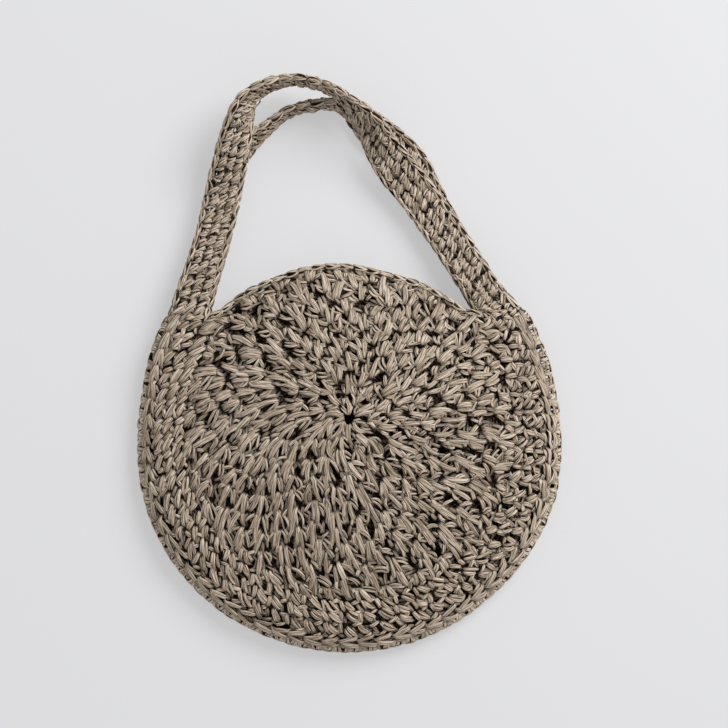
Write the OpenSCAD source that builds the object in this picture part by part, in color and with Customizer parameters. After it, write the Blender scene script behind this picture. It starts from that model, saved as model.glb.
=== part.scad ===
/* [Body] */
// Width across the joined outline
body_w = 340; // [310:2:370]
// From the widest line down to the lowest point
body_drop = 162; // [152:1:180]
// Semi-axis of the ellipse that the shoulders follow
shoulder_rise = 203; // [190:1:230]
// Height of the strap roots above the widest line
root_up = 106; // [98:1:112]

/* [Round panels] */
// Diameter of a panel over its last round
panel_d = 266; // [240:1:276]
// Height of the panel's centre above the widest line
panel_up = 12.8; // [6:0.2:18]
// Rounds worked in a panel
rounds = 14; // [6:1:16]
// Diameter of the hole that the start ring leaves
start_hole_d = 8; // [4:0.5:14]
// Height that the front panel's middle rises above its edge
crown = 18; // [8:1:30]
// Power of the crown's curve, where more is flatter in the middle
crown_power = 2.4; // [2:0.1:4]

/* [Worked fabric] */
// Thickness of the crocheted fabric
fabric_t = 8; // [6:0.5:10]
// Depth of the groove between two rounds or rows
groove = 1.3; // [0.6:0.1:2]
// How much thinner the fabric is at its edges, on each face
edge_thin = 0.6; // [0.3:0.1:1]
// Clear gap between two pieces that meet
fit = 0.3; // [0.2:0.05:0.6]
// Height of the open mouth between the two lips
mouth_gap = 12; // [6:0.5:20]

/* [Side bands and seam] */
// Rows in a side band
band_rows = 4; // [3:1:5]
// How far the front band swells above a straight slope
band_swell = 4; // [0:0.5:8]
// Drop of the front band from the panel's edge to the seam
band_fall = 9; // [4:0.5:11]
// Arc before a strap root over which the seam edge rises, in degrees
root_blend = 34; // [20:1:60]
// Width of the seam that joins the two halves
seam_w = 6.5; // [4:0.5:9]

/* [Straps] */
// Width of a strap over its two edgings
strap_w = 29; // [25:0.5:32]
// Rows in a strap
strap_rows = 3; // [2:1:4]
// Height of the strap's top above its roots
strap_rise = 190.4; // [160:0.2:230]
// Distance of a strap root's middle from the centre line
root_x = 128; // [124:0.5:130]
// Width of the strap at its root
root_w = 33; // [29:0.5:36]
// Thickness of the slip-stitched edging braid
edging_d = 4.5; // [3.5:0.25:5.5]

/* [Hidden] */

half_w = body_w / 2;
panel_r = panel_d / 2;
half_t = fabric_t / 2;
back_z = half_t;
front_z = fabric_t + mouth_gap + half_t;
seam_front_z = front_z - band_fall;
edging_r = edging_d / 2;
root_level = root_up - panel_up - fit / 2;

// Places across one round or row, as shares of its width
crest_start_share = 0.22;
crest_end_share = 0.78;

// Counts of sections along the swept pieces
band_steps = 60;
seam_steps = 72;
route_steps = 4;
circle_fn = 96;

// Each strap's route, chosen by hand: sideways as a share of the half width,
// upwards as a share of the strap's rise, height as a share of the strap's
// width, tilt of the width out of the bag's plane in degrees, and the width
// that is left there as a share of the strap's width.
front_route_shares = [
    [-0.711, 0.124, 0.72, 0, 1.04],
    [-0.642, 0.326, 0.59, 0, 1],
    [-0.590, 0.527, 0.62, 2, 1],
    [-0.541, 0.715, 1.10, 16, 0.96],
    [-0.493, 0.885, 1.17, 60, 0.88],
    [-0.407, 0.962, 1.14, 80, 0.82],
    [-0.256, 1.000, 1.16, 88, 0.80],
    [-0.108, 0.961, 1.24, 87, 0.80],
    [-0.021, 0.887, 1.27, 81, 0.82],
    [0.071, 0.802, 1.10, 66, 0.86],
    [0.148, 0.721, 0.84, 45, 0.92],
    [0.230, 0.624, 0.62, 18, 1],
    [0.336, 0.500, 0.48, 2, 1],
    [0.468, 0.343, 0.50, 0, 1],
    [0.609, 0.166, 0.66, 0, 1.04]];
back_route_shares = [
    [-0.711, 0.124, 0.150, 0, 1.04],
    [-0.642, 0.326, 0.150, 0, 1],
    [-0.592, 0.519, 0.150, 0, 1],
    [-0.565, 0.640, 0.22, 10, 1],
    [-0.517, 0.700, 0.42, 42, 0.90],
    [-0.385, 0.790, 0.43, 76, 0.82],
    [-0.287, 0.858, 0.43, 84, 0.80],
    [-0.165, 0.889, 0.42, 87, 0.80],
    [-0.070, 0.892, 0.42, 78, 0.80],
    [0.005, 0.866, 0.42, 55, 0.86],
    [0.075, 0.812, 0.34, 30, 0.94],
    [0.165, 0.738, 0.17, 6, 1],
    [0.278, 0.640, 0.15, 1, 1],
    [0.372, 0.500, 0.150, 0, 1],
    [0.478, 0.343, 0.150, 0, 1],
    [0.609, 0.166, 0.150, 0, 1.04]];

// Distance from the panel's centre to an ellipse about the body's centre
function ellipse_reach(a, rise) =
    let (qa = pow(cos(a) / half_w, 2) + pow(sin(a) / rise, 2),
         qb = 2 * panel_up * sin(a) / pow(rise, 2),
         qc = pow(panel_up / rise, 2) - 1)
    (-qb + sqrt(pow(qb, 2) - 4 * qa * qc)) / (2 * qa);

// The outline is a low ellipse below the widest line, a tall one above it
function outline_reach(a) =
    let (low = ellipse_reach(a, body_drop))
    panel_up + low * sin(a) <= 0 ? low : ellipse_reach(a, shoulder_rise);

// Direction in which the outline, drawn in by inset, is at the root's level
function root_angle(inset, a = 30, turns = 12) =
    turns == 0 ? a
        : root_angle(inset, asin(root_level / (outline_reach(a) - inset)), turns - 1);

function smooth(t) = t <= 0 ? 0 : t >= 1 ? 1 : t * t * (3 - 2 * t);
function mix(a, b, t) = a + (b - a) * t;
function on_ray(r, a, z) = [r * cos(a), panel_up + r * sin(a), z];
function unit(v) = v / norm(v);

// Height of the front band's outer edge, which rises again to the roots
function outer_z(share) =
    let (whole = 180 + 2 * root_angle(0),
         from_end = min(share, 1 - share) * whole)
    mix(front_z, seam_front_z, smooth(from_end / root_blend));

// A line across worked rows: share of the way, and share of the groove
function row_line(rows) = concat([[0, 1]],
    [for (k = [0 : rows - 1]) each [
        [(k + crest_start_share) / rows, 0],
        [(k + crest_end_share) / rows, 0],
        [(k + 1) / rows, 1]]]);

// Height of a worked face above the fabric's middle, at a place of that line
function face_z(row) = half_t - row[1] * groove - pow(2 * row[0] - 1, 2) * edge_thin;

function reversed(list) = [for (i = [len(list) - 1 : -1 : 0]) list[i]];

// Skin through rings of equal length, closed by a flat face at each end
module loft(rings) {
    n = len(rings[0]);
    m = len(rings);
    sides = [for (j = [0 : m - 2]) for (i = [0 : n - 1])
        let (a = j * n + i, b = j * n + (i + 1) % n)
        each [[a, b, a + n], [b, b + n, a + n]]];
    start_cap = [[for (i = [n - 1 : -1 : 0]) i]];
    end_cap = [[for (i = [0 : n - 1]) (m - 1) * n + i]];
    polyhedron(points = [for (ring = rings) each ring],
        faces = concat(sides, start_cap, end_cap));
}

// One section of a side band between the panel's edge and the seam
function band_ring(share, front) =
    let (in_start = asin(root_level / (panel_r + fit)),
         out_start = root_angle(seam_w + fit),
         in_a = mix(in_start, -180 - in_start, share),
         out_a = mix(out_start, -180 - out_start, share),
         inner = on_ray(panel_r + fit, in_a, front ? front_z : back_z),
         outer = on_ray(outline_reach(out_a) - seam_w - fit, out_a,
             front ? outer_z(share) : back_z),
         side = front ? 1 : -1,
         swell = front ? band_swell * smooth(min(share, 1 - share) * 180 / root_blend) : 0,
         worked = [for (row = row_line(band_rows))
             mix(inner, outer, row[0])
                 + [0, 0, 4 * row[0] * (1 - row[0]) * swell + side * face_z(row)]],
         lining = [for (t = [1, 0.5, 0])
             mix(inner, outer, t)
                 + [0, 0, 4 * t * (1 - t) * (swell + side * groove) - side * half_t]])
    front ? concat(worked, lining) : reversed(concat(worked, lining));

function band_rings(front) =
    [for (k = [0 : band_steps]) band_ring(k / band_steps, front)];

// The seam's section stands on the outline, from one band's middle to the other's
function seam_ring(share) =
    let (start = root_angle(0),
         a = mix(start, -180 - start, share),
         far = outline_reach(a),
         low = back_z,
         high = outer_z(share),
         corner = seam_w / 3)
    [for (p = [[-seam_w, low + corner], [-seam_w, high - corner],
               [corner - seam_w, high], [-corner, high],
               [0, high - corner], [0, low + corner],
               [-corner, low], [corner - seam_w, low]])
        on_ray(far + p[0], a, p[1])];

// Half section of a round panel, its outside ridged by the worked rounds
function crown_z(r) = crown * (1 - pow(r / panel_r, crown_power));
function panel_outside() =
    let (hole_r = start_hole_d / 2, step = (panel_r - hole_r) / rounds)
    [for (row = row_line(rounds)) [hole_r + row[0] * rounds * step, row[1] * groove]];
function panel_inside(domed) =
    let (hole_r = start_hole_d / 2)
    [for (k = [rounds : -1 : 0])
        let (r = mix(hole_r, panel_r, k / rounds))
        [k == 0 ? r + groove : r, (domed ? crown_z(r) : 0)]];

module front_panel_shell() {
    outside = [for (p = panel_outside())
        [p[0], front_z + crown_z(p[0]) + half_t - p[1]]];
    inside = [for (p = panel_inside(true)) [p[0], front_z - half_t + p[1]]];
    rotate_extrude($fn = circle_fn) polygon(concat(outside, inside));
}

module back_panel_shell() {
    outside = [for (p = panel_outside()) [p[0], p[1]]];
    inside = [for (p = panel_inside(false)) [p[0], fabric_t]];
    rotate_extrude($fn = circle_fn) polygon(concat(outside, inside));
}

// Braid along a panel's free lip, from one root to the other
module lip_braid(z) {
    ring_r = panel_r + fit + edging_r;
    start = asin((root_level + edging_r + fit) / ring_r);
    translate([0, panel_up, z]) rotate([0, 0, start])
        rotate_extrude(angle = 180 - 2 * start, $fn = circle_fn)
            translate([ring_r, 0]) circle(r = edging_r, $fn = 24);
}

// A smooth curve through four rows of a table, between the middle two
function between(p, q, r, s, t) =
    0.5 * ((2 * q) + (r - p) * t + (2 * p - 5 * q + 4 * r - s) * t * t
        + (3 * q - p - 3 * r + s) * t * t * t);

// A strap's route in real sizes: place, tilt, width
function route_row(row) = [row[0] * half_w, root_up + row[1] * strap_rise,
    row[2] * strap_w, row[3], row[4] * strap_w];
function root_row(side, z) = [side * root_x, root_up + fit / 2, z, 0, root_w];
function route(shares, z) =
    let (rows = concat([root_row(-1, z)], [for (row = shares) route_row(row)],
             [root_row(1, z)]),
         last = len(rows) - 1)
    concat([for (k = [0 : last - 1]) for (i = [0 : route_steps - 1])
        between(rows[max(k - 1, 0)], rows[k], rows[k + 1],
            rows[min(k + 2, last)], i / route_steps)], [rows[last]]);

// Direction of travel in the bag's plane, square to the fold line at a root
function travel(path, k) =
    let (last = len(path) - 1,
         a = path[max(k - 1, 0)], b = path[min(k + 1, last)],
         along = unit([b[0] - a[0], b[1] - a[1]]),
         upright = [0, k < last / 2 ? 1 : -1],
         from_end = min(k, last - k) / route_steps)
    unit(mix(upright, along, smooth(from_end)));

// A strap's section frames: middle, width direction, face direction, width
function frames(path) = [for (k = [0 : len(path) - 1])
    let (t = travel(path, k), p = path[k],
         w = [-t[1] * cos(p[3]), t[0] * cos(p[3]), sin(p[3])])
    [[p[0], p[1], p[2]], w, cross([t[0], t[1], 0], w), p[4]]];

function strap_rings(path) = [for (f = frames(path))
    let (half = f[3] / 2 - edging_d - fit,
         face = [for (row = row_line(strap_rows))
             [mix(-half, half, row[0]), face_z(row)]])
    [for (p = concat(face, [for (q = reversed(face)) [q[0], -q[1]]]))
        f[0] + f[1] * p[0] + f[2] * p[1]]];

function edging_rings(path, side) = [for (f = frames(path))
    let (middle = f[0] + side * f[1] * (f[3] / 2 - edging_r))
    [for (a = [300 : -60 : 0])
        middle + edging_r * (cos(a) * f[1] + sin(a) * f[2])]];

front_path = route(front_route_shares, front_z);
back_path = route(back_route_shares, back_z);
top_y = max([for (ring = strap_rings(front_path)) for (p = ring) p[1]]);
middle_y = (top_y - body_drop) / 2;

// The origin lies under the middle of the whole bag
module placed() {
    translate([0, -middle_y, 0]) children();
}

module front_panel() {
    color("#9a8d7c") placed() translate([0, panel_up, 0]) front_panel_shell();
}

module back_panel() {
    color("#948776") placed() translate([0, panel_up, 0]) back_panel_shell();
}

module front_side_band() {
    color("#a39583") placed() loft(band_rings(true));
}

module back_side_band() {
    color("#9c8e7d") placed() loft(band_rings(false));
}

module joining_seam() {
    color("#ab9d8a") placed()
        loft([for (k = [0 : seam_steps]) seam_ring(k / seam_steps)]);
}

module front_mouth_edging() {
    color("#b3a592") placed() lip_braid(front_z);
}

module back_mouth_edging() {
    color("#ada08d") placed() lip_braid(back_z);
}

module front_strap() {
    color("#a09280") placed() loft(strap_rings(front_path));
}

module front_strap_inner_edging() {
    color("#b3a592") placed() loft(edging_rings(front_path, -1));
}

module front_strap_outer_edging() {
    color("#b3a592") placed() loft(edging_rings(front_path, 1));
}

module back_strap() {
    color("#988b7a") placed() loft(strap_rings(back_path));
}

module back_strap_inner_edging() {
    color("#ada08d") placed() loft(edging_rings(back_path, -1));
}

module back_strap_outer_edging() {
    color("#ada08d") placed() loft(edging_rings(back_path, 1));
}

front_panel();
back_panel();
front_side_band();
back_side_band();
joining_seam();
front_mouth_edging();
back_mouth_edging();
front_strap();
front_strap_inner_edging();
front_strap_outer_edging();
back_strap();
back_strap_inner_edging();
back_strap_outer_edging();
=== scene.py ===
import math

import bpy
import numpy as np
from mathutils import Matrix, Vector


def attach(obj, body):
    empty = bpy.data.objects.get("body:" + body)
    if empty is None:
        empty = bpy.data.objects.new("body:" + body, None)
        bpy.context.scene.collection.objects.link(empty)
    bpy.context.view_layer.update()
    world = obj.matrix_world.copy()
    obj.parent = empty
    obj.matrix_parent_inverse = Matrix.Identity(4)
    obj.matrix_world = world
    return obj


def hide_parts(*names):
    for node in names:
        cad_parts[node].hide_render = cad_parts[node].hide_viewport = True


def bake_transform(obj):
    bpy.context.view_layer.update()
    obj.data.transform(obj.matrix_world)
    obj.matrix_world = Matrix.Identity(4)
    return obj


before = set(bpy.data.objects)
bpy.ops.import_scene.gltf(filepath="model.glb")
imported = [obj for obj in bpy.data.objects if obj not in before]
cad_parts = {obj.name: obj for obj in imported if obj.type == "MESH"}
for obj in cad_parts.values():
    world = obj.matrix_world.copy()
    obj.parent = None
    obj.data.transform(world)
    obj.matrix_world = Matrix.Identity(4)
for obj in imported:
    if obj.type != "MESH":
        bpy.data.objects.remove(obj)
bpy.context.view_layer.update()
print("frame loaded:", len(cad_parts), "nodes")


# Zero before 0, one after 1, and a smooth turn between them
def smoothStep(share):
    share = np.clip(share, 0, 1)
    return share * share * (3 - 2 * share)


def mix(a, b, share):
    return a + (b - a) * share


def lengths(vectors):
    return np.linalg.norm(vectors, axis=-1)


# Vectors over their own length
def unit(vectors):
    return vectors / np.maximum(lengths(vectors)[..., None], 1e-12)


# A value with humps added, each a direction and a width in degrees and its amount: e to the
# cosine of the angle from that direction less one, over the cosine that the width gives
def humped(value, angle, table):
    for towards, width, amount in table:
        away = np.cos(angle - math.radians(towards)) - 1
        value = value + amount * np.exp(away / (1 - math.cos(math.radians(width))))
    return value


# The bag's own form, in metres

bag = {
    "halfWidth": 0.170,
    "drop": 0.162,            # widest line to the lowest point
    "shoulderRise": 0.203,    # the tall ellipse of the shoulders
    "rootUp": 0.106,          # strap roots over the widest line
    "middleUp": 0.0693,       # the frame's origin over the widest line
    "panelRadius": 0.133,
    "overEdge": 1.025,        # share of that radius at which the strands' tips stop
    "panelUp": 0.0128,
    "holeRadius": 0.0042,
    "backHole": 0.0006,
    "holeShift": 0.0130,      # the start hole lies higher than the panel's middle
    "crown": 0.018,
    "crownPower": 2.4,
    "frontZ": 0.024,          # middle of the fabric, lying on its back
    "backZ": 0.0042,
    "fall": 0.009,
    "swell": 0.004,
    "rootBlend": math.radians(34),
    "rootShare": 0.13,        # share of the band over which its rows crowd to the roots
    "crowding": 0.6,
    "seamTuck": 0.046,        # radians that the seam runs on under the strap roots
    "seamWidth": 0.0065,
    "seamInset": 0.0016,
    "seamOver": 0.0006,       # of the seam's front edge over the band's
    "bandGap": 0.0003,        # between the panel and the band's first row
    "rimRound": 0.0052,
    "between": 0.014,         # height of the parting between the two halves
    "lowest": 0.0004,         # of a strand's middle over the table
    "waver": 0.008,           # the rounds run a little out of true
    # direction and width in degrees, and how far the outline stands out there
    "uneven": ((154, 10, 0.0022), (-49, 24, -0.0024), (190, 18, -0.0007)),
}


lip = {
    "ends": (math.radians(41.6), math.radians(140.3)),
    "outside": 0.0022,        # the braid's centre line beyond the panel
    "radius": 0.0015,
    "link": 0.0112,
    "level": -0.0008,
    "slope": 0.0030,          # the left end stands up and the right one down by this
    "from": (0.50, 0.15),     # sine of the angle where the lift starts, and how fast
    "waves": ((143, 12, 0.0030), (128, 9, 0.0020), (76, 14, -0.0034)),
    "corners": ((142.0, 4.5, 0.0066), (41.5, 4.8, 0.0090)),
}


# The mouth's edge stands higher on the left than on the right, and both corners reach out
# to the straps, in metres at each angle
def mouthLift(angle):
    side = humped(lip["level"] - lip["slope"] * np.cos(angle), angle, lip["waves"])
    start, turn = lip["from"]
    return humped(side * smoothStep((np.sin(angle) - start) / turn), angle, lip["corners"])


# Distance from the panel's middle to an ellipse about the widest line, along each angle
def ellipseReach(angle, rise):
    up = bag["panelUp"]
    a = (np.cos(angle) / bag["halfWidth"]) ** 2 + (np.sin(angle) / rise) ** 2
    b = 2 * up * np.sin(angle) / rise**2
    c = (up / rise) ** 2 - 1
    return (-b + np.sqrt(b * b - 4 * a * c)) / (2 * a)


# The outline is a low ellipse under the widest line and a tall one over it, a little out of
# true: fuller at the left shoulder, and drawn in at the lower right
def outlineReach(angle):
    low = ellipseReach(angle, bag["drop"])
    high = ellipseReach(angle, bag["shoulderRise"])
    reach = np.where(bag["panelUp"] + low * np.sin(angle) <= 0, low, high)
    return humped(reach, angle, bag["uneven"])


# Angle at which the outline, drawn in by inset, stands at the height of the strap roots
def rootAngle(inset):
    angle = math.radians(30)
    level = bag["rootUp"] - bag["panelUp"]
    for _ in range(12):
        angle = math.asin(level / (float(outlineReach(np.array(angle))) - inset))
    return angle


# Height of a half's flat fabric
def restHeight(front):
    return bag["frontZ"] if front else bag["backZ"]


# A point from the widest line's middle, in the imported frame
def placed(x, y, z):
    x, y, z = np.broadcast_arrays(x, y, z)
    return np.stack([x, y - bag["middleUp"], z], -1)


# Height above a middle surface: its place plus height times the normal, which is the
# cross product of its two small steps
def lifted(middle, sign, stepS, stepT):
    def surface(s, t, height):
        across = middle(s, t + stepT) - middle(s, t - stepT)
        along = middle(s + stepS, t) - middle(s - stepS, t)
        normal = unit(np.cross(along, across))
        point = middle(s, t) + sign * normal * np.asarray(height)[..., None]
        point[..., 2] = np.maximum(point[..., 2], bag["lowest"])
        return point

    return surface


# Round panel: angle and radius on a disc, its middle moved up with the start hole, its
# rounds wavering as a sine of the angle, and crowned on the front by crown times one less
# the radius share to a power
def panelMiddle(front):
    def middle(angle, radius):
        radius = np.maximum(radius, bag["holeRadius"] if front else bag["backHole"])
        radius = np.minimum(radius, bag["overEdge"] * bag["panelRadius"])
        share = np.clip(radius / bag["panelRadius"], 0, 1.2)
        radius = radius + bag["waver"] * np.sin(3 * angle + 9 * share) * share * (1 - share)
        radius = radius + mouthLift(angle) * share**3
        shift = bag["holeShift"] * np.maximum(1 - share, 0)
        x = radius * np.cos(angle)
        y = bag["panelUp"] + radius * np.sin(angle) + shift
        crown = bag["crown"] * (1 - share ** bag["crownPower"]) if front else 0 * share
        return placed(x, y, restHeight(front) + crown)

    return middle


# Height of a half's fabric at the outline: the front's is flat at the strap roots and falls
# smoothly to the sides and the bottom, and the back's lies flat
def outerHeight(share, front):
    if not front:
        return bag["backZ"] + 0 * share
    whole = math.pi + 2 * rootAngle(0)
    fromEnd = np.minimum(share, 1 - share) * whole
    return mix(bag["frontZ"], bag["frontZ"] - bag["fall"],
               smoothStep(fromEnd / bag["rootBlend"]))


# Side band: share of the way from the right root round the bottom to the left one, and
# share from the panel's edge to the seam, on straight lines that swell up in the middle.
# Near the roots the rows crowd towards the seam, as they run on into the strap.
def bandMiddle(front):
    panelEdge = bag["panelRadius"] + bag["bandGap"]
    inStart = math.asin((bag["rootUp"] - bag["panelUp"]) / panelEdge)
    outStart = rootAngle(bag["seamWidth"])

    def middle(share, across):
        inAngle = mix(inStart, -math.pi - inStart, share)
        outAngle = mix(outStart, -math.pi - outStart, share)
        fromEnd = np.minimum(share, 1 - share)
        opened = smoothStep(fromEnd / bag["rootShare"])
        crowded = np.abs(across) ** mix(bag["crowding"], 1.0, opened) * np.sign(across)
        reach = outlineReach(outAngle) - bag["seamWidth"]
        x = mix(panelEdge * np.cos(inAngle), reach * np.cos(outAngle), crowded)
        y = mix(panelEdge * np.sin(inAngle), reach * np.sin(outAngle), crowded)
        swell = bag["swell"] * opened if front else 0
        z = (mix(restHeight(front), outerHeight(share, front), crowded)
             + 4 * across * (1 - across) * swell)
        return placed(x, y + bag["panelUp"], z)

    return middle


# Rim wall: share along the outline, and 0 to 1 over half an ellipse that bulges outwards
# from the front band's edge to the back band's edge
def wallMiddle(share, across):
    start = rootAngle(0) + bag["seamTuck"]
    angle = mix(start, -math.pi - start, share)
    front = outerHeight(share, True) + bag["seamOver"]
    turn = math.pi * across
    reach = outlineReach(angle) - bag["rimRound"] - bag["seamInset"]
    reach = reach + bag["rimRound"] * np.sin(turn)
    z = (front + bag["backZ"]) / 2 + (front - bag["backZ"]) / 2 * np.cos(turn)
    return placed(reach * np.cos(angle), bag["panelUp"] + reach * np.sin(angle), z)


# The straps' routes

# Their rows are: sideways as a share of the half width, up as a share of the strap's
# rise, height as a share of the strap's width, tilt of the width in degrees, width as a share
strap = {
    "width": 0.029,
    "rise": 0.1904,
    "leftRoot": -0.1285,
    "rightRoot": 0.1265,
    "rootWidth": 0.033,
    "edging": 0.0048,
    "overlap": 0.0006,        # of the rows under the edge braids
    "braidRadius": 0.0014,
    "arc": (-35, 215),        # degrees that an edge braid covers, from its face to its back
    "upright": 0.030,         # length over which it turns from its root to its route
    "sink": 0.0020,           # the outer braid sinks towards the seam over a length
    "sinkOver": 0.022,
    "places": (1600, 800),    # on the curve through the rows, and evenly spaced after that
    "beyond": 0.05,           # share of a strap that a strand may reach past either end
    "front": [
        (-0.713, 0.124, 0.72, 0, 1.03), (-0.643, 0.326, 0.59, 0, 0.98),
        (-0.589, 0.527, 0.62, 2, 0.98), (-0.538, 0.715, 1.10, 16, 0.95),
        (-0.485, 0.884, 1.17, 56, 0.91), (-0.402, 0.956, 1.14, 75, 0.92),
        (-0.256, 0.990, 1.16, 84, 0.85), (-0.104, 0.958, 1.24, 82, 0.85),
        (-0.002, 0.896, 1.27, 75, 0.93), (0.091, 0.814, 1.10, 52, 1.00),
        (0.146, 0.720, 0.84, 28, 1.03), (0.224, 0.623, 0.62, 8, 1.09),
        (0.336, 0.500, 0.48, 2, 1.06), (0.460, 0.343, 0.50, 0, 1.03),
        (0.588, 0.166, 0.66, 0, 1.01), (0.653, 0.080, 0.50, 0, 1.04)],
    "back": [
        (-0.713, 0.124, 0.150, 0, 1.03), (-0.643, 0.326, 0.150, 0, 0.98),
        (-0.592, 0.519, 0.150, 0, 0.98), (-0.563, 0.640, 0.22, 10, 0.98),
        (-0.515, 0.703, 0.42, 42, 0.90), (-0.387, 0.795, 0.43, 76, 0.84),
        (-0.289, 0.862, 0.43, 83, 0.82), (-0.165, 0.893, 0.42, 85, 0.82),
        (-0.070, 0.896, 0.42, 78, 0.80), (0.007, 0.872, 0.42, 55, 0.86),
        (0.080, 0.815, 0.34, 30, 0.95), (0.174, 0.743, 0.17, 6, 1.02),
        (0.284, 0.647, 0.15, 1, 1.03), (0.370, 0.501, 0.150, 0, 1.01),
        (0.467, 0.343, 0.150, 0, 1), (0.588, 0.166, 0.150, 0, 0.99),
        (0.652, 0.080, 0.150, 0, 1.04)],
}


# A smooth curve through the rows of a table: each part is a cubic of its four nearest rows
def routeCurve(rows, steps):
    rows = np.array(rows, float)
    padded = np.vstack([rows[:1], rows, rows[-1:]])
    part = np.linspace(0, len(rows) - 1, steps)
    k = np.minimum(part.astype(int), len(rows) - 2)
    t = (part - k)[:, None]
    p, q, r, s = padded[k], padded[k + 1], padded[k + 2], padded[k + 3]
    return 0.5 * (2 * q + (r - p) * t + (2 * p - 5 * q + 4 * r - s) * t**2
                  + (3 * q - p - 3 * r + s) * t**3)


# Middle line, width direction and width of a strap, evenly spaced along its length
def strapLines(side):
    root = [strap["rightRoot"], bag["rootUp"], restHeight(side == "front"), 0,
            strap["rootWidth"]]
    rows = [[strap["leftRoot"]] + root[1:]]
    for x, y, lift, tilt, width in strap[side]:
        rows.append([x * bag["halfWidth"], bag["rootUp"] + y * strap["rise"],
                     lift * strap["width"], tilt, width * strap["width"]])
    rows.append(root)
    steps, places = strap["places"]
    fine = routeCurve(rows, steps)
    length = np.concatenate([[0], np.cumsum(lengths(np.diff(fine[:, :3], axis=0)))])
    even = np.linspace(0, length[-1], places)
    fine = np.stack([np.interp(even, length, fine[:, k]) for k in range(5)], 1)
    travel = unit(np.gradient(fine[:, :2], axis=0))
    straight = np.where(even[:, None] < length[-1] / 2, [[0.0, 1.0]], [[0.0, -1.0]])
    fromEnd = np.minimum(even, length[-1] - even) / strap["upright"]
    travel = unit(mix(straight, travel, smoothStep(fromEnd)[:, None]))
    tilt = np.radians(fine[:, 3])
    width = np.stack([-travel[:, 1] * np.cos(tilt), travel[:, 0] * np.cos(tilt), np.sin(tilt)], 1)
    face = np.cross(np.stack([travel[:, 0], travel[:, 1], 0 * tilt], 1), width)
    middle = fine[:, :3] - [0, bag["middleUp"], 0]
    return {"length": length[-1], "middle": middle, "width": width, "face": face,
            "size": fine[:, 4]}


# Value of a table of points at each place along, read between its rows
def readAlong(lines, key, along):
    table = lines[key]
    beyond = strap["beyond"]
    where = np.clip(np.asarray(along) / lines["length"], -beyond, 1 + beyond)
    where = where * (len(table) - 1)
    k = np.clip(where.astype(int), 0, len(table) - 2)
    t = where - k
    if table.ndim > 1:
        t = t[..., None]
    return table[k] + (table[k + 1] - table[k]) * t


# Strap fabric: place along its length, and share of its width between the two edgings
def strapMiddle(lines):
    def middle(along, across):
        half = readAlong(lines, "size", along) / 2 - strap["edging"] + strap["overlap"]
        side = (half * (2 * across - 1))[..., None]
        return readAlong(lines, "middle", along) + readAlong(lines, "width", along) * side

    return middle


# Braid on an edge: an arc round a centre line, from its face over its outside to its back;
# share 0 to 1 is the angle, and the radius adds to the height
def edgeBraid(centre, outward, face, radius):
    def surface(along, across, height):
        angle = np.radians(mix(*strap["arc"], across))[..., None]
        reach = (radius + np.asarray(height))[..., None]
        point = centre(along) + reach * (face(along) * np.cos(angle)
                                         + outward(along) * np.sin(angle))
        point[..., 2] = np.maximum(point[..., 2], bag["lowest"])
        return point

    return surface


# A strap's edge braid: its centre line lies half an edging inside the strap's edge, and the
# outer one sinks smoothly towards the seam at both roots
def strapEdge(lines, side):
    def centre(along):
        half = readAlong(lines, "size", along)[..., None] / 2 - strap["edging"] / 2
        point = readAlong(lines, "middle", along) + side * half * readAlong(lines, "width", along)
        fromEnd = np.minimum(along, lines["length"] - along)
        sink = strap["sink"] * max(side, 0) * np.sign(lines["middle"][0, 2] - bag["between"])
        point[..., 2] -= sink * (1 - smoothStep(fromEnd / strap["sinkOver"]))
        return point

    def outward(along):
        return side * readAlong(lines, "width", along)

    def face(along):
        return readAlong(lines, "face", along)

    return edgeBraid(centre, outward, face, strap["braidRadius"])


# Straight up, for every place along
def upright(along):
    along = np.asarray(along)
    return np.stack([0 * along, 0 * along, 1 + 0 * along], -1)


# Mouth lip: a braid on the panel's free edge, share of the way from the right end to the left
def lipEdge(front):
    ring = bag["panelRadius"] + lip["outside"]
    first, last = lip["ends"]
    z = restHeight(front)

    def angleAt(along):
        return mix(first, last, np.asarray(along))

    def centre(along):
        angle = angleAt(along)
        reach = ring + mouthLift(angle)
        return placed(reach * np.cos(angle), bag["panelUp"] + reach * np.sin(angle), z)

    def outward(along):
        angle = angleAt(along)
        return np.stack([np.cos(angle), np.sin(angle), 0 * angle], -1)

    return edgeBraid(centre, outward, upright, lip["radius"]), ring * (last - first)


# The camera looks straight down at the floor

stage = {
    "floor": (0.820, 0.822, 0.842),
    "glow": 0.94,             # the floor gives off some light, so that shadows stay pale
    "glowShare": 0.52,
    "picture": 0.5824,        # width of the floor in the picture, in metres
    "centre": (0.0120, -0.0004),
    "distance": 2.6,
    "focus": 0.012,
    "lampPlace": (1.4, 1.3, 1.7),
    "lampSize": 1.6,
    "lampPower": 50,
    "reach": 4,               # of the floor to each side
    "level": -0.0002,
    "grain": (3.0, 0.985),    # scale of the floor's pattern, and its darkest
    "sensor": 36.0,
    "room": (1.0, 0.99, 0.975, 1),
    "roomLight": 0.48,
}


# Strands of yarn

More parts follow.
